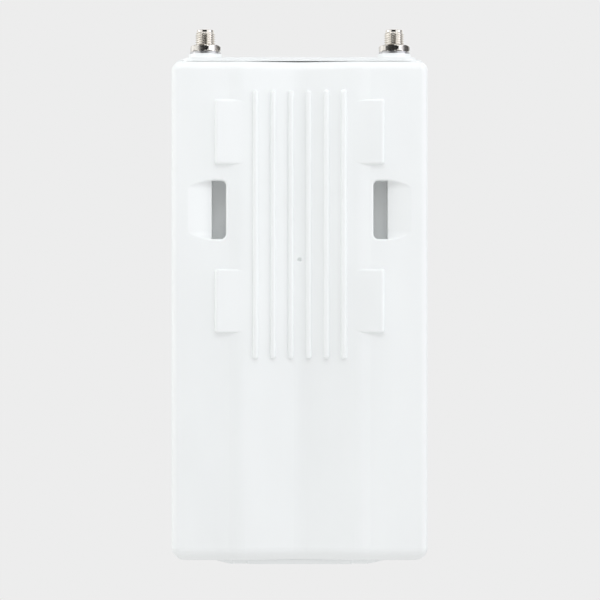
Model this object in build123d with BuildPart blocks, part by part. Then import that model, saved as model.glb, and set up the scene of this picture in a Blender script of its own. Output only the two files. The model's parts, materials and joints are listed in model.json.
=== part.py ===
"""Outdoor wireless bridge: a white two-shell radio housing with a pole saddle and two antenna jacks.

Millimetres. +X is to the right seen from the pole side, -Y faces the pole, +Z is up.
The origin is at the bottom centre of the whole object's box.
"""

from build123d import *

import os

# Case, overall
half_width = 40.0
front_y = 15.0
front_shoulder_y = 13.2
front_corner = 4.0
wall = 2.0
front_wall = 2.2
seam_gap = 0.3
rear_rim_y = -1.5
front_rim_y = rear_rim_y + seam_gap
front_top_z = 159.2
front_top_wall = 3.4
front_bottom_z = 36.0
bulkhead = 2.4
rear_top_z = 157.6
rear_bottom_z = 1.5
rear_end_wall = 2.2

# Rear shell's section: flat sides, a low crest each side and a shallow V for the pole
plateau_y = -13.1
slope_x = 22.0
crest_x = 18.3
crest_y = -13.5
valley_y = -10.5
valley_slope = (valley_y - crest_y) / crest_x
slope_radius, crest_radius, valley_radius = 5.0, 10.0, 12.0

# Ribs and pads of the pole saddle
rib_xs = [2.75, 8.3, 13.8]
rib_width = 1.9
rib_height = 1.2
rib_rounding = 0.8
rib_bottom_z, rib_top_z = 64.5, 148.6
pad_outer_x = 26.5
pad_inner_x = 15.6
pad_spans = [(72.7, 92.7), (125.2, 145.5)]
pad_edge = 0.8
gate_mark_z = 95.6

# Strap slots and the tunnel that joins them behind the V
slot_bottom_z, slot_top_z = 102.0, 120.2
slot_height = slot_top_z - slot_bottom_z
slot_inner_x, ramp_end_x, ramp_start_x = 23.0, 27.5, 34.8
ramp_end_y = -10.4
ramp_corner = 2.4
rim_radius = 0.7
slot_corner = 1.6
tunnel_roof_y = -11.4
tunnel_floor_y = -5.0
tunnel_wall = 1.2

# Port cover
port_top_z = front_bottom_z - seam_gap
port_lip_y = -6.7
port_arch_x = 21.5
port_arch_rise = 1.5
port_floor = 2.1
pry_notch_x = 18.8
rail_inner_x = 36.0
rail_y = (-4.5, -3.0)
runner_x = (34.4, 35.7)
runner_z = (5.0, 33.0)
cable_y = 3.0
grommet_radius = 7.4
cable_hole_radius = 2.8

# Main board
board_front_y = -1.3
board_thickness = 1.6
board_rear_y = board_front_y - board_thickness
board_half_width = 34.5
board_bottom_z, board_top_z = 40.5, 142.0
neck_half_width = 15.0
neck_bottom_z = 24.0
board_screw_spots = [(-31.0, 47.0), (31.0, 47.0), (-22.0, 138.5), (22.0, 138.5)]
case_screw_spots = [(-30.5, 32.5), (30.5, 32.5)]
screw_radius = 1.3

# Status lights
led_xs = [-17.5 + 7.0 * i for i in range(6)]
led_z = 48.0
light_window_radius = 1.3

# Network jack
jack_half_width = 8.0
jack_depth_y = 13.4
jack_bottom_z, jack_top_z = 22.0, 43.0
jack_metal = 0.4
plug_half_width = 5.95
plug_y = (0.9, 7.7)
plug_depth = 14.0

# Reset switch
reset_x = 11.8
reset_y = 0.7
reset_z = (25.2, 28.7)
reset_stem_radius = 0.9

# Antenna jacks, 1/4-36 thread
antenna_x = 30.1
antenna_y = 3.5
boss_top_z = 161.2
boss_top_radius = 5.3
boss_base_radius = 7.0
thread_radius = 3.175
seat_radius = 3.0
antenna_top_z = 169.0
washer_thickness = 0.7
nut_thickness = 2.2
nut_flats = 9.0
nut_turn = -15
flange_thickness = 2.0
ring_radius = 0.5
ferrule_bottom_z = 147.5
lead_radius = 0.9
lead_plug_z = 118.0
lead_plug_y = board_front_y + 2.2

SIDES = ((-1, "left"), (1, "right"))


def at_y(y):
    """Plane facing the pole side at this depth, with its own axes along X and Z."""
    return Plane.XZ.offset(-y)


def finish(piece, name):
    """Name a finished piece and write it."""
    piece.part.label = name
    export_step(piece.part, f"parts/{name}.step")


def saddle_y(x):
    """Depth of the V's surface, carried on past its crests by the pads."""
    return valley_y - valley_slope * abs(x)


def front_face_y(x):
    """Depth of the crowned front face."""
    return front_y - (front_y - front_shoulder_y) * (x / half_width) ** 2


def rear_section(inset):
    """Section of the rear shell, moved inwards by the inset and closed at the rim."""
    side = half_width - inset
    half = [(side, rear_rim_y), (side, plateau_y + inset), (slope_x, plateau_y + inset)]
    half += [(crest_x, crest_y + inset), (0, valley_y + inset)]
    points = half + [(-x, y) for x, y in reversed(half[:-1])]
    corner = max(2.2 - inset, 0.6)
    half_radii = [corner, slope_radius, crest_radius]
    with BuildSketch() as section:
        with BuildLine():
            edge = FilletPolyline(*points, radius=[*half_radii, valley_radius, *reversed(half_radii)])
            Line(edge @ 1, edge @ 0)
        make_face()
    return section.sketch


def front_section(inset):
    """Section of the crowned front shell, moved inwards by the inset and closed at the rim."""
    side = half_width - inset
    shoulder = front_shoulder_y - inset
    with BuildSketch() as section:
        with BuildLine():
            Polyline((-side, shoulder), (-side, front_rim_y), (side, front_rim_y), (side, shoulder))
            ThreePointArc((side, shoulder), (0, front_y - inset), (-side, shoulder))
        make_face()
        fillet(section.vertices().group_by(Axis.Y)[-1], front_corner - inset)
    return section.sketch


def seal_outline(bottom_z, width):
    """Band of this width, up one side of the rim, across the top and down the other side."""
    side, top_z = half_width - 1.1, rear_top_z - 0.8
    with BuildSketch() as band:
        with BuildLine():
            FilletPolyline((-side, bottom_z), (-side, top_z), (side, top_z), (side, bottom_z), radius=3.5)
        trace(line_width=width)
    return band.sketch


def tapped_post(x, z, radius, top_y):
    """Screw post that stands on the rear shell's inner face, as its own solid."""
    with BuildPart() as post:
        with BuildSketch(at_y(plateau_y + wall / 2)):
            with Locations((x, z)):
                Circle(radius)
        extrude(amount=-(top_y - plateau_y - wall / 2))
    return post.part


def strap_ramp(side):
    """Trough that leads from the flat down to a strap slot, with rounded lower corners, as its own solid."""
    reach_x, above_y = ramp_start_x + 3.2, -20.0
    near = (side * (ramp_end_x - 0.8), ramp_end_y + 0.5)
    far = (side * reach_x, plateau_y - 0.3)
    with BuildPart() as ramp:
        with BuildSketch(Plane.XY.offset(slot_bottom_z)):
            with BuildLine():
                ThreePointArc(near, (side * ramp_start_x, plateau_y), far)
                Polyline(far, (far[0], above_y), (near[0], above_y), near)
            make_face()
        extrude(amount=slot_height)
        floor = ramp.faces().filter_by(GeomType.CYLINDER)
        fillet(floor.edges().filter_by(Axis.Z, reverse=True), ramp_corner)
    return ramp.part


os.makedirs("parts", exist_ok=True)

# ---------------------------------------------------------------- rear cover
with BuildPart() as rear_cover:
    with BuildSketch(Plane.XY.offset(rear_bottom_z)):
        add(rear_section(0))
    extrude(amount=rear_top_z - rear_bottom_z)
    ends = [(edges().group_by(Axis.Z)[-1], 3.0), (edges().group_by(Axis.Z)[0], 4.2)]
    for end_edges, radius in ends:
        fillet(end_edges.filter_by(lambda e: e.center().Y < rear_rim_y - 0.5), radius)
    # Strap slots and ramps sunk into the flat beside the V, their rims rounded over
    with BuildSketch(at_y(plateau_y)):
        for side, _ in SIDES:
            with Locations((side * (slot_inner_x + ramp_end_x) / 2, slot_bottom_z + slot_height / 2)):
                Rectangle(ramp_end_x - slot_inner_x, slot_height)
        fillet(vertices().filter_by_position(Axis.X, -slot_inner_x - 1, slot_inner_x + 1), slot_corner)
    extrude(amount=plateau_y - tunnel_roof_y, mode=Mode.SUBTRACT)
    for side, _ in SIDES:
        add(strap_ramp(side), mode=Mode.SUBTRACT)
    rims = edges().filter_by_position(Axis.Y, plateau_y - 0.01, plateau_y + 0.01)
    rims = rims.filter_by_position(Axis.Z, slot_bottom_z - 0.01, slot_top_z + 0.01)
    fillet(rims, rim_radius)

    # Cavity, which leaves the walls of the strap tunnel standing
    with BuildPart(mode=Mode.PRIVATE) as cavity:
        with BuildSketch(Plane.XY.offset(rear_bottom_z + rear_end_wall)):
            add(rear_section(wall))
        extrude(amount=rear_top_z - rear_bottom_z - 2 * rear_end_wall)
        roof_half = [(0, plateau_y), (slope_x, plateau_y)]
        tunnel_half = [(36.0, -12.4), (29.0, -9.0), (29.0, tunnel_floor_y + tunnel_wall)]
        with BuildSketch(Plane.XY.offset(slot_bottom_z - tunnel_wall)):
            with BuildLine():
                points = roof_half + tunnel_half
                Polyline(*points, *[(-x, y) for x, y in reversed(points[1:])], close=True)
            make_face()
        extrude(amount=slot_height + 2 * tunnel_wall, mode=Mode.SUBTRACT)
    add(cavity.part, mode=Mode.SUBTRACT)
    channel_half = [(0, -9.3), (crest_x, -11.7), (slot_inner_x, tunnel_roof_y)]
    channel_half += [(ramp_end_x, tunnel_roof_y), (ramp_end_x, tunnel_floor_y)]
    with BuildSketch(Plane.XY.offset(slot_bottom_z)):
        with BuildLine():
            Polyline(*channel_half, *[(-x, y) for x, y in reversed(channel_half[1:])], close=True)
        make_face()
    extrude(amount=slot_height, mode=Mode.SUBTRACT)
    # The end wall stops short at the bottom, where the port cover's floor carries on
    with BuildSketch(Plane.XY):
        with Locations((0, port_lip_y - seam_gap)):
            Rectangle(2 * (half_width - wall), 20, align=(Align.CENTER, Align.MIN))
    extrude(amount=rear_bottom_z + rear_end_wall + 0.5, mode=Mode.SUBTRACT)

    # Posts for the board and case screws
    for x, z in board_screw_spots:
        add(tapped_post(x, z, 3.0, board_rear_y))
    for x, z in case_screw_spots:
        add(tapped_post(x, z, 3.4, rear_rim_y))
    with BuildSketch(at_y(rear_rim_y)):
        with Locations(*board_screw_spots, *case_screw_spots):
            Circle(screw_radius)
    extrude(amount=7.5, mode=Mode.SUBTRACT)

    # Splash wall above the port compartment, cut away under the board's neck
    splash_depth = board_rear_y - 0.4
    with BuildSketch(Plane.XY.offset(front_bottom_z)):
        add(rear_section(wall / 2))
        with Locations((0, splash_depth)):
            Rectangle(2 * neck_half_width + 1, 10, align=(Align.CENTER, Align.MIN), mode=Mode.SUBTRACT)
    extrude(amount=2.0)
    # Rails that the port cover's runners hook behind
    with BuildSketch(Plane.XY.offset(6.0)):
        for side, _ in SIDES:
            with Locations((side * (rail_inner_x + half_width - wall / 2) / 2, sum(rail_y) / 2)):
                Rectangle(half_width - wall / 2 - rail_inner_x, rail_y[1] - rail_y[0])
    extrude(amount=front_bottom_z - 6.0)
    # Ledges that the front cover's snap hooks catch
    with BuildSketch(at_y(-3.6)):
        with GridLocations(2 * (half_width - wall - 0.35), 60, 2, 2):
            with Locations((0, 100)):
                Rectangle(1.1, 9)
    extrude(amount=1.4)

    # Pads that carry the V on past its crests
    for bottom_z, top_z in pad_spans:
        for side, _ in SIDES:
            with BuildPart(mode=Mode.PRIVATE) as pad:
                with BuildSketch(Plane.XY.offset(bottom_z)):
                    with BuildLine():
                        Polyline(
                            (side * pad_inner_x, saddle_y(pad_inner_x)),
                            (side * pad_outer_x, saddle_y(pad_outer_x)),
                            (side * pad_outer_x, plateau_y + wall / 2),
                            (side * pad_inner_x, plateau_y + wall / 2),
                            close=True,
                        )
                    make_face()
                extrude(amount=top_z - bottom_z)
                outer_edge = pad.edges().filter_by(Axis.Z).sort_by(Axis.Y)[0]
                fillet(outer_edge, 1.1)
                ends = pad.faces().filter_by(Axis.Z).edges()
                ends = ends.filter_by(lambda e: e.center().Y < plateau_y + 0.9)
                fillet(ends.filter_by(lambda e: abs(e.center().X) > pad_inner_x + 0.1), pad_edge)
            add(pad.part)

    # Ribs down the V, their tops rounded over
    for x in [-rib for rib in reversed(rib_xs)] + rib_xs:
        with BuildPart(mode=Mode.PRIVATE) as rib:
            with BuildSketch(at_y(saddle_y(x) + 1.0)):
                with Locations((x, (rib_bottom_z + rib_top_z) / 2)):
                    SlotOverall(rib_top_z - rib_bottom_z, rib_width, rotation=90)
            extrude(amount=1.0 + rib_height)
            fillet(rib.edges().group_by(Axis.Y)[0], rib_rounding)
        add(rib.part)

    # Small moulding mark between the middle ribs
    with Locations((0, valley_y, gate_mark_z)):
        Sphere(0.8, mode=Mode.SUBTRACT)
finish(rear_cover, "rear_cover")

# ---------------------------------------------------------------- front cover
with BuildPart() as front_cover:
    with BuildSketch(Plane.XY.offset(front_bottom_z)):
        add(front_section(0))
    extrude(amount=front_top_z - front_bottom_z)
    top_edges = edges().group_by(Axis.Z)[-1]
    fillet(top_edges.filter_by(lambda e: e.center().Y > front_rim_y + 0.5), 3.0)

    # Brim over the rear cover's top, with the jack bosses flaring out of it
    with BuildSketch(Plane.XY.offset(front_top_z - 1.2)):
        with Locations((0, -8.0)):
            Rectangle(73, 10, align=(Align.CENTER, Align.MIN))
        fillet(vertices().group_by(Axis.Y)[0], 3.5)
    extrude(amount=1.2)
    with BuildPart(mode=Mode.PRIVATE) as boss:
        with BuildSketch(Plane.XZ):
            with BuildLine():
                Polyline(
                    (boss_base_radius, front_top_z),
                    (boss_base_radius, front_top_z - 1.2),
                    (0, front_top_z - 1.2),
                    (0, boss_top_z),
                    (boss_top_radius, boss_top_z),
                    (boss_top_radius, boss_top_z - 0.6),
                )
                TangentArc(
                    (boss_top_radius, boss_top_z - 0.6),
                    (boss_base_radius, front_top_z),
                    tangent=(0, -1),
                )
            make_face()
        revolve(axis=Axis.Z)
    for side, _ in SIDES:
        add(boss.part.moved(Location((side * antenna_x, antenna_y, 0))))

    # Cavity, and the window in the bulkhead for the network jack
    with BuildSketch(Plane.XY.offset(front_bottom_z + bulkhead)):
        add(front_section(front_wall))
    extrude(amount=front_top_z - front_top_wall - front_bottom_z - bulkhead, mode=Mode.SUBTRACT)
    with BuildSketch(Plane.XY.offset(front_bottom_z)):
        with Locations((0, front_rim_y)):
            Rectangle(2 * jack_half_width + 1, 13.8, align=(Align.CENTER, Align.MIN))
    extrude(amount=bulkhead, mode=Mode.SUBTRACT)

    # Tabs for the case screws, hanging into the port compartment
    with BuildSketch(at_y(rear_rim_y)):
        for x, z in case_screw_spots:
            with Locations((x, z)):
                Circle(3.3)
            with Locations((x, z + 2.5)):
                Rectangle(6.6, 5.0)
    extrude(amount=-2.2)
    with BuildSketch(at_y(rear_rim_y)):
        with Locations(*case_screw_spots):
            Circle(screw_radius + 0.3)
    extrude(amount=-2.2, mode=Mode.SUBTRACT)

    # Snap hooks down the sides
    for side, _ in SIDES:
        for z in (70, 130):
            with BuildSketch(Plane.XY.offset(z - 3)):
                with BuildLine():
                    Polyline(
                        (side * (half_width - 1), 2.2),
                        (side * 35.6, 2.2),
                        (side * 35.6, -7.4),
                        (side * 37.0, -6.6),
                        (side * 37.6, -5.6),
                        (side * 36.8, -5.3),
                        (side * 36.8, 0.2),
                        (side * (half_width - 1), 0.2),
                        close=True,
                    )
                make_face()
            extrude(amount=6)

    # Windows for the status lights
    with BuildSketch(at_y(front_y)):
        for x in led_xs:
            with Locations((x, led_z)):
                Circle(light_window_radius)
    extrude(amount=5, mode=Mode.SUBTRACT)
    # Holes for the antenna jacks
    with BuildSketch(Plane.XY.offset(front_top_z - front_top_wall)):
        for side, _ in SIDES:
            with Locations((side * antenna_x, antenna_y)):
                Circle(thread_radius + 0.08)
    extrude(amount=boss_top_z - front_top_z + front_top_wall, mode=Mode.SUBTRACT)
    # Groove for the seal
    with BuildSketch(at_y(front_rim_y + 1.0)):
        add(seal_outline(40.0, 1.0))
    extrude(amount=1.0, mode=Mode.SUBTRACT)
finish(front_cover, "front_cover")

with BuildPart() as case_seal:
    with BuildSketch(at_y(front_rim_y + 0.95)):
        add(seal_outline(40.2, 0.9))
    extrude(amount=front_rim_y + 0.95 - rear_rim_y)
finish(case_seal, "case_seal")

# ---------------------------------------------------------------- port cover

def port_outline(inset):
    """Outline of the port cover seen from the pole side: its underside dips between two shoulders."""
    side = half_width - inset
    rise = port_floor if inset else 0
    half = [(side, port_top_z), (side, port_arch_rise + rise), (port_arch_x + 6, port_arch_rise + rise)]
    half += [(port_arch_x, rise)]
    points = half + [(-x, z) for x, z in reversed(half)]
    with BuildSketch() as outline:
        with BuildLine():
            edge = FilletPolyline(*points, radius=[3.0 - inset / 2, 8, 8, 8, 8, 3.0 - inset / 2])
            Line(edge @ 1, edge @ 0)
        make_face()
    return outline.sketch


with BuildPart() as port_cover:
    with BuildSketch():
        add(front_section(0))
    extrude(amount=port_top_z)
    with BuildSketch(at_y(front_y)):
        add(port_outline(0))
    extrude(amount=front_y - front_rim_y, mode=Mode.INTERSECT)
    # Floor that reaches back under the board's compartment, between the rear cover's sides
    with BuildPart(mode=Mode.PRIVATE) as floor_tongue:
        with BuildSketch(at_y(0)):
            add(port_outline(0))
        extrude(amount=-port_lip_y)
        with BuildSketch(at_y(0)):
            with Locations((0, port_arch_rise + port_floor)):
                Rectangle(4 * half_width, 2 * port_top_z, align=(Align.CENTER, Align.MIN))
        extrude(amount=-port_lip_y, mode=Mode.SUBTRACT)
        with BuildSketch(at_y(0)):
            Rectangle(2 * (half_width - wall - 0.4), 10)
        extrude(amount=-port_lip_y, mode=Mode.INTERSECT)
    add(floor_tongue.part)
    # Hollow above the floor, open to the rear and at the top
    with BuildPart(mode=Mode.PRIVATE) as hollow:
        with BuildSketch():
            add(front_section(front_wall))
            with Locations((0, front_rim_y)):
                Rectangle(2 * (half_width - front_wall), 20, align=(Align.CENTER, Align.MAX))
        extrude(amount=port_top_z + 1)
        with BuildSketch(at_y(front_y)):
            add(port_outline(front_wall))
        extrude(amount=2 * front_y, mode=Mode.INTERSECT)
    add(hollow.part, mode=Mode.SUBTRACT)

    # Runners that hook behind the rear cover's rails
    for side, _ in SIDES:
        with BuildSketch(Plane.XY.offset(runner_z[0])):
            with BuildLine():
                Polyline(
                    (side * (half_width - 1), 2.0),
                    (side * runner_x[0], 2.0),
                    (side * runner_x[0], rail_y[0] - 1.8),
                    (side * 37.6, rail_y[0] - 1.8),
                    (side * 37.6, rail_y[0] - 0.3),
                    (side * runner_x[1], rail_y[0] - 0.3),
                    (side * runner_x[1], front_rim_y + 0.2),
                    (side * (half_width - 1), front_rim_y + 0.2),
                    close=True,
                )
            make_face()
        extrude(amount=runner_z[1] - runner_z[0])
    # Pry notches in the floor's rear edge
    with BuildSketch(Plane.XY):
        with GridLocations(2 * pry_notch_x, 0, 2, 1):
            with Locations((0, port_lip_y)):
                SlotOverall(5.0, 2.0)
    extrude(amount=0.8, mode=Mode.SUBTRACT)
    # Finger grooves on the front
    with BuildSketch(at_y(front_y)):
        with Locations((0, 13)):
            with GridLocations(0, 3.2, 1, 4):
                SlotOverall(26, 1.4)
    extrude(amount=0.6, mode=Mode.SUBTRACT)
    # Cable hole, wide enough for a plug, stepped underneath for the grommet's lower flange
    for radius, height in ((grommet_radius, 4.0), (grommet_radius + 1.0, 0.9)):
        with BuildSketch():
            with Locations((0, cable_y)):
                Circle(radius)
        extrude(amount=height, mode=Mode.SUBTRACT)
    # Lower front edge rounded over
    with BuildSketch(Plane.YZ.offset(-half_width)):
        with Locations((front_y, 0)):
            Rectangle(4 * front_y, port_top_z, align=(Align.MAX, Align.MIN))
        fillet(vertices().sort_by(Axis.X)[-2:].sort_by(Axis.Y)[0], 3.2)
    extrude(amount=2 * half_width, mode=Mode.INTERSECT)
finish(port_cover, "port_cover")

with BuildPart() as cable_grommet:
    floor_top = port_floor + 0.05
    layers = ((0.1, 0.85, 0.9), (0.85, floor_top, -0.05), (floor_top, floor_top + 1.25, 1.3))
    for bottom_z, top_z, flange in layers:
        with BuildSketch(Plane.XY.offset(bottom_z)):
            with Locations((0, cable_y)):
                Circle(grommet_radius + flange)
                Circle(cable_hole_radius, mode=Mode.SUBTRACT)
                Rectangle(20, 0.3, align=(Align.MIN, Align.CENTER), mode=Mode.SUBTRACT)
        extrude(amount=top_z - bottom_z)
finish(cable_grommet, "cable_grommet")

# ---------------------------------------------------------------- status lights
with BuildPart() as light_pipes:
    for x in led_xs:
        with BuildSketch(at_y(front_face_y(x) - 0.1)):
            with Locations((x, led_z)):
                Circle(light_window_radius - 0.08)
        extrude(amount=front_face_y(x) - 0.1 - 0.4)
    with BuildSketch(at_y(12.0)):
        with Locations((0, led_z)):
            SlotOverall(led_xs[-1] - led_xs[0] + 7, 5.0)
    extrude(amount=1.4)
finish(light_pipes, "light_pipes")

with BuildPart() as status_leds:
    for x in led_xs:
        with BuildSketch(at_y(board_front_y)):
            with Locations((x, led_z)):
                Rectangle(1.6, 0.8)
        extrude(amount=-0.4)
        with BuildSketch(at_y(board_front_y + 0.4)):
            with Locations((x, led_z)):
                RectangleRounded(1.1, 0.8, 0.2)
        extrude(amount=-0.4)
finish(status_leds, "status_leds")

# ---------------------------------------------------------------- main board
with BuildPart() as main_board:
    with BuildSketch(at_y(board_front_y)):
        with Locations((0, board_bottom_z)):
            Rectangle(2 * board_half_width, board_top_z - board_bottom_z, align=(Align.CENTER, Align.MIN))
        fillet(vertices(), 1.5)
        with Locations((0, neck_bottom_z)):
            Rectangle(2 * neck_half_width, 20, align=(Align.CENTER, Align.MIN))
        with Locations(*board_screw_spots):
            Circle(screw_radius + 0.3, mode=Mode.SUBTRACT)
    extrude(amount=board_thickness)
finish(main_board, "main_board")


def pan_head_screw(x, z, seat_y, length):
    """Pan head screw driven from the front, with a cross recess, as its own solid."""
    with BuildPart() as screw:
        with BuildSketch(at_y(seat_y)):
            with Locations((x, z)):
                Circle(screw_radius)
        extrude(amount=length)
        with BuildSketch(at_y(seat_y + 1.8)):
            with Locations((x, z)):
                Circle(2.4)
        extrude(amount=1.8)
        fillet(screw.edges().filter_by(GeomType.CIRCLE).sort_by(Axis.Y)[-1], 0.8)
        with BuildSketch(at_y(seat_y + 1.8)):
            with Locations((x, z)):
                Rectangle(2.6, 0.5)
                Rectangle(0.5, 2.6)
        extrude(amount=1.0, mode=Mode.SUBTRACT)
    return screw.part


with BuildPart() as board_screws:
    for x, z in board_screw_spots:
        add(pan_head_screw(x, z, board_front_y, 7.0))
finish(board_screws, "board_screws")

with BuildPart() as case_screws:
    for x, z in case_screw_spots:
        add(pan_head_screw(x, z, rear_rim_y + 2.2, 9.0))
finish(case_screws, "case_screws")

# Chip packages on the board: name, centre, width, length, height, standing on the board's front
chips = [
    ("processor_chip", [(0.0, 88.0)], 19.0, 19.0, 1.3),
    ("memory_chip", [(20.0, 88.0)], 10.5, 13.0, 1.1),
    ("flash_chip", [(19.0, 73.0)], 5.2, 7.9, 1.7),
    ("clock_crystal", [(9.0, 73.0)], 5.0, 3.2, 0.9),
    ("regulator_chips", [(-28.0, 92.0), (-19.0, 92.0)], 4.9, 6.0, 1.6),
    ("surge_protectors", [(-12.5, 53.0), (12.5, 53.0)], 3.4, 2.8, 2.2),
    ("radio_chips", [(0.0, 118.0), (-16.0, 122.0), (16.0, 122.0)], 7.0, 7.0, 0.9),
]
for name, spots, width, length, height in chips:
    with BuildPart() as chip:
        with BuildSketch(at_y(board_front_y + height)):
            with Locations(*spots):
                Rectangle(width, length)
        extrude(amount=height)
        chamfer(chip.faces().group_by(Axis.Y)[-1].edges(), 0.2)
        with BuildSketch(at_y(board_front_y + height)):
            with Locations(*[(x - width / 2 + 0.9, z + length / 2 - 0.9) for x, z in spots]):
                Circle(0.35)
        extrude(amount=0.15, mode=Mode.SUBTRACT)
    finish(chip, name)

with BuildPart() as ethernet_transformer:
    with BuildSketch(at_y(board_front_y + 5.8)):
        with Locations((0, 62)):
            Rectangle(16, 12.5)
    extrude(amount=5.4)
    chamfer(faces().group_by(Axis.Y)[-1].edges(), 0.5)
    with BuildSketch(at_y(board_front_y + 1.0)):
        with Locations((0, 62)):
            with GridLocations(1.27, 14.0, 12, 2):
                Rectangle(0.5, 2.4)
    extrude(amount=1.0)
finish(ethernet_transformer, "ethernet_transformer")

with BuildPart() as power_inductors:
    for x, z in ((-28, 77), (-18, 77)):
        with BuildSketch(at_y(board_front_y + 4.0)):
            with Locations((x, z)):
                RectangleRounded(7.6, 7.6, 1.2)
        extrude(amount=4.0)
    chamfer(faces().group_by(Axis.Y)[-1].edges(), 0.4)
finish(power_inductors, "power_inductors")

with BuildPart() as bulk_capacitors:
    for x, z in ((-28, 62), (-18, 62), (24, 61)):
        with BuildSketch(at_y(board_front_y + 1.0)):
            with Locations((x, z)):
                Rectangle(8.2, 8.2)
            chamfer(vertices().sort_by(Axis.Y)[-2:], 1.4)
        extrude(amount=1.0)
        with BuildSketch(at_y(board_front_y + 1.0)):
            with Locations((x, z)):
                Circle(3.9)
        extrude(amount=-8.2)
    fillet(faces().group_by(Axis.Y)[-1].edges(), 0.5)
finish(bulk_capacitors, "bulk_capacitors")

processor_top_y = board_front_y + 1.3
with BuildPart() as thermal_pad:
    with BuildSketch(at_y(processor_top_y + 1.0)):
        with Locations((0, 88)):
            Rectangle(16, 16)
    extrude(amount=1.0)
finish(thermal_pad, "thermal_pad")

with BuildPart() as heat_sink:
    with BuildSketch(at_y(processor_top_y + 2.6)):
        with Locations((0, 88)):
            Rectangle(25, 25)
    extrude(amount=1.6)
    with BuildSketch(at_y(processor_top_y + 8.6)):
        with Locations((0, 88)):
            with GridLocations(2.95, 0, 9, 1):
                Rectangle(1.0, 25)
    extrude(amount=6.0)
finish(heat_sink, "heat_sink")

shield_center_z = 118.5
with BuildPart() as shield_frame:
    with BuildSketch(at_y(board_front_y + 2.2)):
        with Locations((0, shield_center_z)):
            Rectangle(49.4, 27.4)
            Rectangle(48.8, 26.8, mode=Mode.SUBTRACT)
    extrude(amount=2.2)
finish(shield_frame, "shield_frame")

with BuildPart() as shield_lid:
    with BuildSketch(at_y(board_front_y + 3.2)):
        with Locations((0, shield_center_z)):
            RectangleRounded(50.1, 28.1, 0.8)
    extrude(amount=2.6)
    with BuildSketch(at_y(board_front_y + 2.9)):
        with Locations((0, shield_center_z)):
            Rectangle(49.5, 27.5)
    extrude(amount=2.6, mode=Mode.SUBTRACT)
    with BuildSketch(at_y(board_front_y + 3.2)):
        with Locations((0, shield_center_z)):
            with GridLocations(5.0, 5.0, 9, 5):
                Circle(0.6)
    extrude(amount=0.3, mode=Mode.SUBTRACT)
finish(shield_lid, "shield_lid")

# ---------------------------------------------------------------- network jack
jack_mid_y = board_front_y + jack_depth_y / 2
insert_half_width = jack_half_width - jack_metal
with BuildPart() as network_jack_shell:
    with BuildSketch(Plane.XY.offset(jack_bottom_z)):
        with Locations((0, jack_mid_y)):
            Rectangle(2 * jack_half_width, jack_depth_y)
    extrude(amount=jack_top_z - jack_bottom_z)
    with BuildSketch(Plane.XY.offset(jack_bottom_z)):
        with Locations((0, jack_mid_y)):
            Rectangle(2 * insert_half_width, jack_depth_y - 2 * jack_metal)
    extrude(amount=jack_top_z - jack_bottom_z - jack_metal, mode=Mode.SUBTRACT)
finish(network_jack_shell, "network_jack_shell")

contact_pitch = 1.02
with BuildPart() as network_jack_insert:
    with BuildSketch(Plane.XY.offset(jack_bottom_z + 0.1)):
        with Locations((0, jack_mid_y)):
            Rectangle(2 * insert_half_width, jack_depth_y - 2 * jack_metal)
    extrude(amount=jack_top_z - jack_bottom_z - jack_metal - 0.1)
    with BuildSketch(Plane.XY.offset(jack_bottom_z)):
        with Locations((0, sum(plug_y) / 2)):
            Rectangle(2 * plug_half_width, plug_y[1] - plug_y[0])
        with Locations((0, plug_y[1])):
            Rectangle(6.3, 3.0, align=(Align.CENTER, Align.MIN))
    extrude(amount=plug_depth, mode=Mode.SUBTRACT)
    # Slots for the eight spring contacts, open towards the plug
    with BuildSketch(Plane.XY.offset(jack_bottom_z + 1.5)):
        with Locations((0, plug_y[0] - 0.7)):
            with GridLocations(contact_pitch, 0, 8, 1):
                Rectangle(0.6, 1.6)
    extrude(amount=plug_depth + 2.0, mode=Mode.SUBTRACT)
finish(network_jack_insert, "network_jack_insert")

with BuildPart() as network_jack_contacts:
    for i in range(8):
        x = (i - 3.5) * contact_pitch
        with BuildSketch(Plane.YZ.offset(x - 0.2)):
            with BuildLine():
                Polyline(
                    (plug_y[0] - 1.2, jack_bottom_z + 16.0),
                    (plug_y[0] - 1.2, jack_bottom_z + 2.2),
                    (plug_y[0] - 0.6, jack_bottom_z + 2.2),
                    (plug_y[0] + 1.8, jack_bottom_z + 9.5),
                    (plug_y[0] + 1.5, jack_bottom_z + 9.7),
                    (plug_y[0] - 0.8, jack_bottom_z + 2.8),
                    (plug_y[0] - 0.9, jack_bottom_z + 16.0),
                    close=True,
                )
            make_face()
        extrude(amount=0.4)
finish(network_jack_contacts, "network_jack_contacts")

# ---------------------------------------------------------------- reset switch
with BuildPart() as reset_switch:
    with BuildSketch(Plane.XY.offset(reset_z[0])):
        with Locations((reset_x, board_front_y)):
            Rectangle(4.6, 4.0, align=(Align.CENTER, Align.MIN))
    extrude(amount=reset_z[1] - reset_z[0])
    # Chamber for the button's collar, with a smaller hole for its stem
    with BuildSketch(Plane.XY.offset(reset_z[0] + 0.6)):
        with Locations((reset_x, reset_y)):
            Circle(1.5)
    extrude(amount=2.2, mode=Mode.SUBTRACT)
    with BuildSketch(Plane.XY.offset(reset_z[0])):
        with Locations((reset_x, reset_y)):
            Circle(reset_stem_radius + 0.08)
    extrude(amount=1.0, mode=Mode.SUBTRACT)
finish(reset_switch, "reset_switch")

with BuildPart() as reset_button:
    with BuildSketch(Plane.XY.offset(reset_z[0] - 1.3)):
        with Locations((reset_x, reset_y)):
            Circle(reset_stem_radius)
    extrude(amount=3.0)
    with BuildSketch(Plane.XY.offset(reset_z[0] + 0.65)):
        with Locations((reset_x, reset_y)):
            Circle(1.4)
    extrude(amount=1.05)
    fillet(reset_button.edges().filter_by(GeomType.CIRCLE).sort_by(Axis.Z)[0], 0.25)
finish(reset_button, "reset_button")

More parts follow.
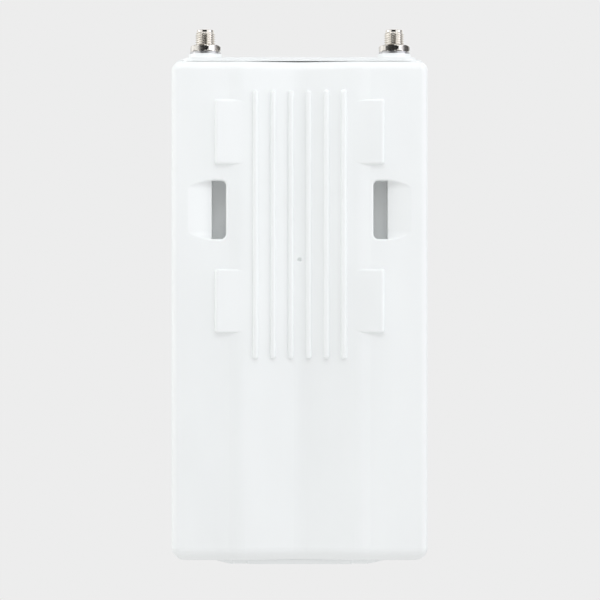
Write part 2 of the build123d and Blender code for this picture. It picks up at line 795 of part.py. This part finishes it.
# ---------------------------------------------------------------- antenna jacks
wall_inner_z = front_top_z - front_top_wall
flange_top_z = wall_inner_z - 2 * ring_radius
insulator_bottom_z = flange_top_z - flange_thickness - 1.0
washer_top_z = boss_top_z + washer_thickness
free_thread_z = washer_top_z + nut_thickness + 0.2

for side, name in SIDES:
    jack_x = side * antenna_x
    jack_spot = (jack_x, antenna_y)

    with BuildPart() as antenna_jack:
        tube_steps = (
            (ferrule_bottom_z, flange_top_z - flange_thickness - 2.0, 1.7),
            (flange_top_z - flange_thickness - 2.0, flange_top_z - flange_thickness, 3.0),
            (flange_top_z, free_thread_z, seat_radius),
            (free_thread_z, antenna_top_z, thread_radius),
        )
        for bottom_z, top_z, radius in tube_steps:
            with BuildSketch(Plane.XY.offset(bottom_z)):
                with Locations(jack_spot):
                    Circle(radius)
            extrude(amount=top_z - bottom_z)
        chamfer(edges().filter_by(GeomType.CIRCLE).sort_by(Axis.Z)[-1], 0.3)
        with BuildSketch(Plane.XY.offset(flange_top_z - flange_thickness)):
            with Locations(jack_spot):
                RegularPolygon(4.0, 6, major_radius=False)
        extrude(amount=flange_thickness)
        # Mouth, insulator bore and ferrule bore
        for bottom_z, top_z, radius in (
            (antenna_top_z - 3.0, antenna_top_z, 2.45),
            (insulator_bottom_z, antenna_top_z - 3.0, 2.0),
            (ferrule_bottom_z, ferrule_bottom_z + 3.0, lead_radius),
            (ferrule_bottom_z + 3.0, insulator_bottom_z, 0.5),
        ):
            with BuildSketch(Plane.XY.offset(bottom_z)):
                with Locations(jack_spot):
                    Circle(radius)
            extrude(amount=top_z - bottom_z, mode=Mode.SUBTRACT)
    finish(antenna_jack, f"antenna_jack_{name}")

    with BuildPart() as insulator:
        with BuildSketch(Plane.XY.offset(insulator_bottom_z)):
            with Locations(jack_spot):
                Circle(2.0)
                Circle(0.5, mode=Mode.SUBTRACT)
        extrude(amount=antenna_top_z - 2.6 - insulator_bottom_z)
    finish(insulator, f"jack_insulator_{name}")

    with BuildPart() as pin:
        with BuildSketch(Plane.XY.offset(ferrule_bottom_z + 3.0)):
            with Locations(jack_spot):
                Circle(0.5)
        extrude(amount=antenna_top_z - 0.7 - ferrule_bottom_z - 3.0)
        fillet(edges().filter_by(GeomType.CIRCLE).sort_by(Axis.Z)[-1], 0.3)
    finish(pin, f"jack_pin_{name}")

    with BuildPart() as ring:
        with BuildSketch(Plane(origin=(jack_x, antenna_y, 0), x_dir=(1, 0, 0), z_dir=(0, -1, 0))):
            with Locations((seat_radius + ring_radius, wall_inner_z - ring_radius)):
                Circle(ring_radius)
        revolve(axis=Axis((jack_x, antenna_y, 0), (0, 0, 1)))
    finish(ring, f"jack_ring_{name}")

    with BuildPart() as washer:
        with BuildSketch(Plane.XY.offset(boss_top_z)):
            with Locations(jack_spot):
                Circle(4.9)
                Circle(3.9, mode=Mode.SUBTRACT)
                with PolarLocations(3.75, 12):
                    Rectangle(0.9, 1.0)
        extrude(amount=washer_thickness)
    finish(washer, f"jack_washer_{name}")

    with BuildPart() as nut:
        with BuildSketch(Plane.XY.offset(washer_top_z)):
            with Locations(jack_spot):
                RegularPolygon(nut_flats / 2, 6, major_radius=False, rotation=nut_turn)
        extrude(amount=nut_thickness)
        # Corners turned off both ends of the hexagon
        with BuildPart(mode=Mode.PRIVATE) as turned:
            with Locations((jack_x, antenna_y, washer_top_z + nut_thickness / 2)):
                Cylinder(nut_flats / 2 / 0.866 + 0.02, nut_thickness)
            chamfer(turned.edges().filter_by(GeomType.CIRCLE), 0.35, 0.75)
        add(turned.part, mode=Mode.INTERSECT)
        with BuildSketch(Plane.XY.offset(washer_top_z)):
            with Locations(jack_spot):
                Circle(seat_radius + 0.02)
        extrude(amount=nut_thickness, mode=Mode.SUBTRACT)
    finish(nut, f"jack_nut_{name}")

    # Coax lead, down from the jack's ferrule to a plug on the board's edge
    with BuildPart() as coax_lead:
        with BuildLine() as route:
            FilletPolyline(
                (jack_x, antenna_y, ferrule_bottom_z + 3.0),
                (jack_x, antenna_y, 139.0),
                (jack_x, lead_plug_y, 128.0),
                (jack_x, lead_plug_y, lead_plug_z + 2.0),
                radius=[30, 30],
            )
        with BuildSketch(Plane(origin=route.line @ 0, z_dir=route.line % 0)):
            Circle(lead_radius)
        sweep()
    finish(coax_lead, f"coax_lead_{name}")

    with BuildPart() as coax_plug:
        with BuildSketch(at_y(lead_plug_y + 1.3)):
            with Locations((jack_x, lead_plug_z - 2.0)):
                Circle(2.2)
        extrude(amount=2.6)
        with BuildSketch(Plane.XY.offset(lead_plug_z - 3.0)):
            with Locations((jack_x, lead_plug_y)):
                Circle(1.25)
        extrude(amount=7.0)
        with BuildSketch(Plane.XY.offset(lead_plug_z + 2.0)):
            with Locations((jack_x, lead_plug_y)):
                Circle(lead_radius)
        extrude(amount=2.0, mode=Mode.SUBTRACT)
    finish(coax_plug, f"coax_plug_{name}")

with BuildPart() as coax_sockets:
    for side, _ in SIDES:
        with BuildSketch(at_y(lead_plug_y - 1.3)):
            with Locations((side * antenna_x, lead_plug_z - 2.0)):
                Circle(1.6)
        extrude(amount=lead_plug_y - 1.3 - board_front_y)
finish(coax_sockets, "coax_sockets")
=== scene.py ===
"""Looks of the outdoor wireless bridge: white moulded housing, nickel jacks and the board inside."""

import json
import math

import bmesh
import bpy
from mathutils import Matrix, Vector


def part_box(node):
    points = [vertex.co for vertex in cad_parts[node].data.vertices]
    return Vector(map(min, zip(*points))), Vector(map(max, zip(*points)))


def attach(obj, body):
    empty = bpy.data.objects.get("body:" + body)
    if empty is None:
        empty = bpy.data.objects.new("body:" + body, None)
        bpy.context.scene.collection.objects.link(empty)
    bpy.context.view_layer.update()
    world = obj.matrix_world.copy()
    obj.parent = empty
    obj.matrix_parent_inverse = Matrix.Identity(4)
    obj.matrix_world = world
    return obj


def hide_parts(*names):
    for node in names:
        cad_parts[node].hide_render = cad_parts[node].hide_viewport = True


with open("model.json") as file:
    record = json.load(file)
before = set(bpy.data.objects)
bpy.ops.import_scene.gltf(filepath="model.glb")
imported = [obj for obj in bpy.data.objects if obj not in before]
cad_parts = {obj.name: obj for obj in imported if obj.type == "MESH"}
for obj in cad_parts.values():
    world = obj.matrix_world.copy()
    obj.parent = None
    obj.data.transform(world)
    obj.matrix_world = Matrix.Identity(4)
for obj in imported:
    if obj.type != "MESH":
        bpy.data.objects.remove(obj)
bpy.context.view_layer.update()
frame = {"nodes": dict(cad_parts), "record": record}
MM = 0.001


# ---------------------------------------------------------------- materials
# Part of a noise's range over which colour and gloss change
NOISE_LOW, NOISE_HIGH = 0.3, 0.7
FLOW_SIZE = 18 * MM
TARNISH_SIZE = 3 * MM
TRACK_DENSITY = 120.0


def material(name, color, roughness, metallic=0.0, **sockets):
    """A Principled material and its node tree; constants go straight on the shader's sockets."""
    mat = bpy.data.materials.new(name)
    mat.use_nodes = True
    shader = mat.node_tree.nodes["Principled BSDF"]
    shader.inputs["Base Color"].default_value = (*color, 1.0)
    shader.inputs["Roughness"].default_value = roughness
    shader.inputs["Metallic"].default_value = metallic
    for socket, value in sockets.items():
        shader.inputs[socket.replace("_", " ")].default_value = value
    return mat, mat.node_tree, shader


def noise(tree, size, detail, stretch=(1, 1, 1)):
    """Noise whose cells are about size metres across, in the object's own frame."""
    coordinates = tree.nodes.new("ShaderNodeTexCoord")
    scaling = tree.nodes.new("ShaderNodeMapping")
    scaling.inputs["Scale"].default_value = stretch
    texture = tree.nodes.new("ShaderNodeTexNoise")
    texture.inputs["Scale"].default_value = 1.0 / size
    texture.inputs["Detail"].default_value = detail
    tree.links.new(coordinates.outputs["Object"], scaling.inputs["Vector"])
    tree.links.new(scaling.outputs["Vector"], texture.inputs["Vector"])
    return texture.outputs["Fac"]


def ramp(tree, factor, low, high):
    """Colour that goes from low to high across the noise's range."""
    node = tree.nodes.new("ShaderNodeValToRGB")
    node.color_ramp.elements[0].position = NOISE_LOW
    node.color_ramp.elements[1].position = NOISE_HIGH
    node.color_ramp.elements[0].color = (*low, 1.0)
    node.color_ramp.elements[1].color = (*high, 1.0)
    tree.links.new(factor, node.inputs["Fac"])
    return node.outputs["Color"]


def spread(tree, factor, low, high):
    """Number that goes from low to high across the noise's range."""
    node = tree.nodes.new("ShaderNodeMapRange")
    node.inputs["From Min"].default_value = NOISE_LOW
    node.inputs["From Max"].default_value = NOISE_HIGH
    node.inputs["To Min"].default_value = low
    node.inputs["To Max"].default_value = high
    tree.links.new(factor, node.inputs["Value"])
    return node.outputs["Result"]


def bump(tree, shader, height, depth):
    """Surface relief of about depth metres."""
    node = tree.nodes.new("ShaderNodeBump")
    node.inputs["Distance"].default_value = depth
    tree.links.new(height, node.inputs["Height"])
    tree.links.new(node.outputs["Normal"], shader.inputs["Normal"])


def moulded(name, color, roughness, grain=0.25 * MM, depth=0.006 * MM, variation=0.012, **sockets):
    """Moulded plastic or rubber: fine spark-eroded grain and faint flow marks in colour and gloss."""
    mat, tree, shader = material(name, color, roughness, **sockets)
    flow = noise(tree, FLOW_SIZE, 4.0, stretch=(1, 1, 0.4))
    low = [c * (1 - variation) for c in color]
    high = [min(1.0, c * (1 + variation)) for c in color]
    tree.links.new(ramp(tree, flow, low, high), shader.inputs["Base Color"])
    tree.links.new(spread(tree, flow, roughness - 0.04, roughness + 0.04), shader.inputs["Roughness"])
    bump(tree, shader, noise(tree, grain, 2.0), depth)
    return mat


def metal(name, color, roughness, brush=(1, 1, 1), grain=0.3 * MM, depth=0.002 * MM, tarnish=0.08):
    """Plated or brushed metal: fine scratches along one direction and a little tarnish."""
    mat, tree, shader = material(name, color, roughness, metallic=1.0)
    patches = noise(tree, TARNISH_SIZE, 4.0)
    low = [c * (1 - tarnish) for c in color]
    tree.links.new(ramp(tree, patches, low, color), shader.inputs["Base Color"])
    scratches = noise(tree, grain, 3.0, stretch=brush)
    tree.links.new(spread(tree, scratches, roughness * 0.7, roughness * 1.4), shader.inputs["Roughness"])
    bump(tree, shader, scratches, depth)
    return mat


def circuit_board(name):
    """Green solder mask over faint copper tracks and flooded areas."""
    mat, tree, shader = material(name, (0.03, 0.2, 0.09), 0.32, Coat_Weight=0.3, Coat_Roughness=0.15)
    coordinates = tree.nodes.new("ShaderNodeTexCoord")
    flat = tree.nodes.new("ShaderNodeMapping")
    flat.inputs["Rotation"].default_value = (math.radians(90), 0, 0)
    tree.links.new(coordinates.outputs["Object"], flat.inputs["Vector"])
    tracks = tree.nodes.new("ShaderNodeTexBrick")
    tracks.inputs["Scale"].default_value = TRACK_DENSITY
    tracks.inputs["Mortar Size"].default_value = 0.03
    tracks.inputs["Color1"].default_value = (0.02, 0.17, 0.07, 1)
    tracks.inputs["Color2"].default_value = (0.03, 0.23, 0.1, 1)
    tracks.inputs["Mortar"].default_value = (0.07, 0.36, 0.17, 1)
    tree.links.new(flat.outputs["Vector"], tracks.inputs["Vector"])
    tree.links.new(tracks.outputs["Color"], shader.inputs["Base Color"])
    bump(tree, shader, tracks.outputs["Fac"], 0.03 * MM)
    return mat


MATERIALS = {
    "white_plastic": moulded("white_plastic", (0.915, 0.935, 0.933), 0.4),
    "grey_rubber": moulded("grey_rubber", (0.06, 0.062, 0.065), 0.7, depth=0.01 * MM, variation=0.15),
    "clear_plastic": moulded("clear_plastic", (0.93, 0.95, 0.96), 0.12, depth=0.001 * MM,
                             Transmission_Weight=0.9, IOR=1.58),
    "led_plastic": moulded("led_plastic", (0.9, 0.88, 0.6), 0.25),
    "board_green": circuit_board("board_green"),
    "steel": metal("steel", (0.5, 0.5, 0.51), 0.32),
    "chip_black": moulded("chip_black", (0.025, 0.025, 0.028), 0.55, variation=0.2),
    "black_plastic": moulded("black_plastic", (0.02, 0.02, 0.02), 0.45, variation=0.2),
    "silver_case": metal("silver_case", (0.75, 0.76, 0.78), 0.25, brush=(1, 0.2, 1)),
    "heat_sink_metal": metal("heat_sink_metal", (0.5, 0.51, 0.53), 0.4, brush=(1, 1, 0.05)),
    "pad_grey": moulded("pad_grey", (0.3, 0.36, 0.45), 0.8, variation=0.1),
    "tin_plate": metal("tin_plate", (0.74, 0.74, 0.76), 0.28),
    "gold_plate": metal("gold_plate", (0.95, 0.7, 0.3), 0.2),
    "nickel_plate": metal("nickel_plate", (0.73, 0.7, 0.65), 0.16, grain=0.12 * MM, depth=0.001 * MM),
    "ptfe_white": moulded("ptfe_white", (0.86, 0.86, 0.83), 0.5),
    "lead_jacket": moulded("lead_jacket", (0.2, 0.1, 0.05), 0.3, variation=0.1),
    "button_plastic": moulded("button_plastic", (0.4, 0.4, 0.4), 0.45),
}

slot_of = {entry["node"]: entry["material_slot"] for entry in frame["record"]["subparts"]}
for node, piece in frame["nodes"].items():
    piece.data.materials.clear()
    piece.data.materials.append(MATERIALS[slot_of[node]])


# ---------------------------------------------------------------- threaded antenna jacks
THREAD_PITCH = 25.4 * MM / 36
THREAD_DEPTH = 0.38 * MM
THREAD_RADIUS = 3.175 * MM
# Thread profile, in thread depths and per pitch: the part of the ridge above 1 is cut off flat
RIDGE_HEIGHT, FLANK_SLOPE = 1.65, 4.4
# Stations along one turn of the thread, and how many of them it fades over at its start and end
TURN_STATIONS = 12
FADE_IN, FADE_OUT = 12, 8
TURN_STEPS = 144
FLANGE_HEIGHT = 2 * MM
SEAT_HEIGHT = 2 * MM
SEAT_RADIUS = 3.0 * MM
FERRULE_RADIUS = 1.7 * MM
CABLE_HOLE = 0.9 * MM
PIN_HOLE = 0.55 * MM
SOCKET_RADIUS = 2.0 * MM
MOUTH_RADIUS = 2.45 * MM
LIP = 0.55 * MM
# Half the distance across the nut's flats, the radius of its corners and of its hole
NUT_FLATS = 4.5 * MM
NUT_CORNER = 5.1 * MM
NUT_HOLE = 3.03 * MM
NUT_TURN = math.radians(-15)
# How far the nut's faces bulge: 0 is flat, 1 is round
CROWN = 0.25


def hexagon(flats, angle):
    """Radius of a hexagon with these flats, at an angle from one of its corners."""
    return flats / math.cos(angle % (math.pi / 3) - math.pi / 6)


def thread(angle, z):
    """Radius of a right-hand thread with flattened crests and roots."""
    phase = (z / THREAD_PITCH - angle / (2 * math.pi)) % 1.0
    ridge = min(1.0, max(0.0, RIDGE_HEIGHT - abs(phase - 0.5) * FLANK_SLOPE))
    return THREAD_RADIUS - THREAD_DEPTH * (1.0 - ridge)


def turned_piece(name, center, stations):
    """Closed piece of rings about a vertical axis.

    A station is a height and either a radius or a function that gives the radius at an angle.
    """
    mesh = bmesh.new()
    rings = []
    for z, radius in stations:
        ring = []
        for step in range(TURN_STEPS):
            angle = 2 * math.pi * step / TURN_STEPS
            r = radius(angle) if callable(radius) else radius
            ring.append(mesh.verts.new((center[0] + r * math.cos(angle), center[1] + r * math.sin(angle), z)))
        rings.append(ring)
    for i, ring in enumerate(rings):
        following = rings[(i + 1) % len(rings)]
        for step in range(TURN_STEPS):
            after = (step + 1) % TURN_STEPS
            mesh.faces.new((ring[step], ring[after], following[after], following[step]))
    bmesh.ops.recalc_face_normals(mesh, faces=mesh.faces)
    data = bpy.data.meshes.new(name)
    mesh.to_mesh(data)
    mesh.free()
    piece = bpy.data.objects.new(name, data)
    bpy.context.scene.collection.objects.link(piece)
    data.shade_smooth()
    data.set_sharp_from_angle(angle=math.radians(35))
    return piece


def stand_in(piece, node):
    """Nickel-plated piece of the housing, shown in place of a CAD node."""
    piece.data.materials.append(MATERIALS["nickel_plate"])
    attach(piece, "housing")
    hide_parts(node)


def antenna_jack(side):
    """Threaded jack that stands for the plain CAD one, with its hexagonal flange, ferrule and open mouth."""
    low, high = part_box(f"antenna_jack_{side}")
    center = ((low.x + high.x) / 2, (low.y + high.y) / 2)
    flange_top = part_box(f"jack_ring_{side}")[0].z
    flats = (high.y - low.y) / 2
    flange_bottom = flange_top - FLANGE_HEIGHT
    body_bottom = flange_bottom - SEAT_HEIGHT
    stations = [
        (low.z, 1.35 * MM),
        (low.z, FERRULE_RADIUS - 0.08 * MM),
        (low.z + 0.1 * MM, FERRULE_RADIUS),
        (body_bottom, FERRULE_RADIUS),
        (body_bottom, SEAT_RADIUS - 0.15 * MM),
        (body_bottom + 0.15 * MM, SEAT_RADIUS),
        (flange_bottom, SEAT_RADIUS),
    ]
    stations += [(z, lambda angle: hexagon(flats, angle)) for z in (flange_bottom, flange_top)]
    thread_bottom = flange_top + 0.6 * MM
    thread_top = high.z - LIP - 0.25 * MM
    root = THREAD_RADIUS - THREAD_DEPTH
    stations += [(flange_top, root), (thread_bottom, root)]
    count = int((thread_top - thread_bottom) / (THREAD_PITCH / TURN_STATIONS))
    for i in range(1, count):
        z = thread_bottom + (thread_top - thread_bottom) * i / count
        fade = min(1.0, i / FADE_IN, (count - i) / FADE_OUT)
        stations.append((z, lambda angle, z=z, fade=fade: root + (thread(angle, z) - root) * fade))
    stations += [
        (thread_top, root),
        (high.z - LIP, root),
        (high.z - 0.12 * MM, root),
        (high.z, root - 0.12 * MM),
        (high.z, MOUTH_RADIUS + 0.1 * MM),
        (high.z - 0.1 * MM, MOUTH_RADIUS),
        (high.z - 3.0 * MM, MOUTH_RADIUS),
        (high.z - 3.0 * MM, SOCKET_RADIUS),
        (flange_bottom - 1.0 * MM, SOCKET_RADIUS),
        (flange_bottom - 1.0 * MM, PIN_HOLE),
        (low.z + 3.0 * MM, PIN_HOLE),
        (low.z + 3.0 * MM, CABLE_HOLE),
        (low.z + 0.4 * MM, CABLE_HOLE),
    ]
    stand_in(turned_piece(f"threaded_jack_{side}", center, stations), f"antenna_jack_{side}")


def crowned(corner, angle):
    """Radius of the nut: slightly convex faces, and corners turned off at the corner radius."""
    from_face = angle % (math.pi / 3) - math.pi / 6
    return min(corner, NUT_FLATS * ((1 - CROWN) / math.cos(from_face) + CROWN))


def jack_nut(side):
    """Polished nut that stands for the CAD one, with crowned faces and turned-off corners."""
    low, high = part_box(f"jack_nut_{side}")
    jack_low, jack_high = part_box(f"antenna_jack_{side}")
    center = ((jack_low.x + jack_high.x) / 2, (jack_low.y + jack_high.y) / 2)
    # Distance from the nut's end, and the radius of its turned-off corners there
    end = ((0.0, 4.3 * MM), (0.12 * MM, 4.55 * MM), (0.3 * MM, 4.8 * MM), (0.5 * MM, NUT_CORNER))
    corners = [(low.z + inset, corner) for inset, corner in end]
    corners += [(high.z - inset, corner) for inset, corner in reversed(end)]
    stations = [(z, lambda angle, corner=corner: crowned(corner, angle - NUT_TURN)) for z, corner in corners]
    stations += [
        (high.z, NUT_HOLE + 0.32 * MM),
        (high.z - 0.3 * MM, NUT_HOLE),
        (low.z + 0.3 * MM, NUT_HOLE),
        (low.z, NUT_HOLE + 0.32 * MM),
    ]
    stand_in(turned_piece(f"crowned_nut_{side}", center, stations), f"jack_nut_{side}")


for side in ("left", "right"):
    antenna_jack(side)
    jack_nut(side)


# ---------------------------------------------------------------- studio
MID_HEIGHT = 0.083
BODY_MID = Vector((0, 0, MID_HEIGHT))
BACKDROP = 0.8465
CARD_RADIUS, CARD_LOW, CARD_HIGH, CARD_STEPS = 1.1, -0.3, 0.9, 16
COVE_STEPS, COVE_TURN_STEPS = 96, 12


def emitting(name, strength):
    """Stage material that glows evenly in white."""
    mat = bpy.data.materials.new(name)
    mat.use_nodes = True
    tree = mat.node_tree
    tree.nodes.remove(tree.nodes["Principled BSDF"])
    glow = tree.nodes.new("ShaderNodeEmission")
    glow.inputs["Color"].default_value = (1, 1, 1, 1)
    glow.inputs["Strength"].default_value = strength
    tree.links.new(glow.outputs[0], tree.nodes["Material Output"].inputs["Surface"])
    return mat


def area_light(name, place, size, power, color=(1, 1, 1)):
    """Soft box that faces the middle of the body."""
    data = bpy.data.lights.new(name, "AREA")
    data.shape = "RECTANGLE"
    data.size, data.size_y = size
    data.energy = power
    data.color = color
    lamp = bpy.data.objects.new(name, data)
    lamp.location = place
    lamp.visible_camera = False
    lamp.rotation_euler = (BODY_MID - Vector(place)).to_track_quat("-Z", "Y").to_euler()
    bpy.context.scene.collection.objects.link(lamp)


def reflected_arc(name, start, end, shade):
    """Upright curved card that only reflections see, between two angles from the camera's side."""
    mesh = bmesh.new()
    columns = []
    for i in range(CARD_STEPS + 1):
        angle = math.radians(start + (end - start) * i / CARD_STEPS)
        place = (CARD_RADIUS * math.sin(angle), -CARD_RADIUS * math.cos(angle))
        columns.append([mesh.verts.new((*place, z)) for z in (CARD_LOW, CARD_HIGH)])
    for before, after in zip(columns, columns[1:]):
        mesh.faces.new((before[0], after[0], after[1], before[1]))
    data = bpy.data.meshes.new(name)
    mesh.to_mesh(data)
    mesh.free()
    card = bpy.data.objects.new(name, data)
    bpy.context.scene.collection.objects.link(card)
    data.materials.append(emitting(name + "_shade", shade))
    card.visible_camera = False
    card.visible_diffuse = False
    card.visible_shadow = False
    card.visible_transmission = False


# Round cove: a floor that turns up into a wall all the way round
cove = bmesh.new()
floor_z, floor_radius, turn_radius, wall_top = -0.06, 2.2, 0.8, 3.0
outline = [(0.0, floor_z), (floor_radius, floor_z)]
outline += [
    (floor_radius + turn_radius * math.sin(a), floor_z + turn_radius * (1 - math.cos(a)))
    for a in [math.pi / 2 * i / COVE_TURN_STEPS for i in range(1, COVE_TURN_STEPS + 1)]
]
outline.append((floor_radius + turn_radius, wall_top))
center = cove.verts.new((0, 0, floor_z))
directions = [2 * math.pi * i / COVE_STEPS for i in range(COVE_STEPS)]
rings = [[cove.verts.new((r * math.cos(a), r * math.sin(a), z)) for a in directions] for r, z in outline[1:]]
for i in range(COVE_STEPS):
    after = (i + 1) % COVE_STEPS
    cove.faces.new((center, rings[0][i], rings[0][after]))
    for inner, outer in zip(rings, rings[1:]):
        cove.faces.new((inner[i], outer[i], outer[after], inner[after]))
cove_data = bpy.data.meshes.new("cove")
cove.to_mesh(cove_data)
cove.free()
cove_data.shade_smooth()
cove_object = bpy.data.objects.new("cove", cove_data)
bpy.context.scene.collection.objects.link(cove_object)
cove_data.materials.append(emitting("cove_paper", BACKDROP))
cove_object.visible_diffuse = False
cove_object.visible_shadow = False

world = bpy.data.worlds.new("studio")
world.use_nodes = True
world.node_tree.nodes["Background"].inputs["Color"].default_value = (1, 1, 1, 1)
world.node_tree.nodes["Background"].inputs["Strength"].default_value = 0.69
bpy.context.scene.world = world

area_light("top", (0.0, -0.1, 1.0), (0.8, 0.5), 1.12)
area_light("top_near", (0.0, -0.35, 0.55), (0.5, 0.2), 0.7, color=(0.97, 1, 1.03))
area_light("right_near", (0.28, -0.3, 0.35), (0.2, 0.2), 0.1, color=(0.97, 1, 1.1))
area_light("left", (-0.9, -0.25, 0.15), (0.5, 0.9), 0.15)
area_light("right", (0.9, -0.25, 0.15), (0.5, 0.9), 1.1, color=(1, 1, 1.12))
area_light("side_left", (-0.9, 0.02, 0.1), (0.3, 0.8), 1.3)
area_light("under_front", (0.0, -0.6, -0.5), (0.9, 0.5), 0.7)
area_light("back_left", (-0.7, 0.7, 0.4), (0.5, 0.8), 0.5)
area_light("back_right", (0.7, 0.7, 0.4), (0.5, 0.8), 0.5)
reflected_arc("dark_card", -38, 20, 0.01)
reflected_arc("right_card", 24, 82, 1.3)
reflected_arc("left_card", -80, -41, 1.2)
reflected_arc("dark_edge_card", 86, 112, 0.05)

# ---------------------------------------------------------------- camera
camera_data = bpy.data.cameras.new("camera")
camera = bpy.data.objects.new("camera", camera_data)
bpy.context.scene.collection.objects.link(camera)
CAMERA_DISTANCE = 0.7
# Width of the view at the depth of the body's outline, which is this far in front of the origin
VIEW_WIDTH = 0.1875
OUTLINE_DEPTH = 0.0108
SENSOR_WIDTH = 36.0
# The camera stands this far to the right of the object's middle
CAMERA_SIDE = 0.0001
camera_data.sensor_width = SENSOR_WIDTH
camera_data.lens = SENSOR_WIDTH * (CAMERA_DISTANCE - OUTLINE_DEPTH) / VIEW_WIDTH
camera_data.clip_start = 0.01
camera.location = (CAMERA_SIDE, -CAMERA_DISTANCE, MID_HEIGHT)
camera.rotation_euler = (math.radians(90), 0, 0)
bpy.context.scene.camera = camera

bpy.context.scene.view_settings.view_transform = "Standard"
bpy.context.scene.view_settings.look = "None"
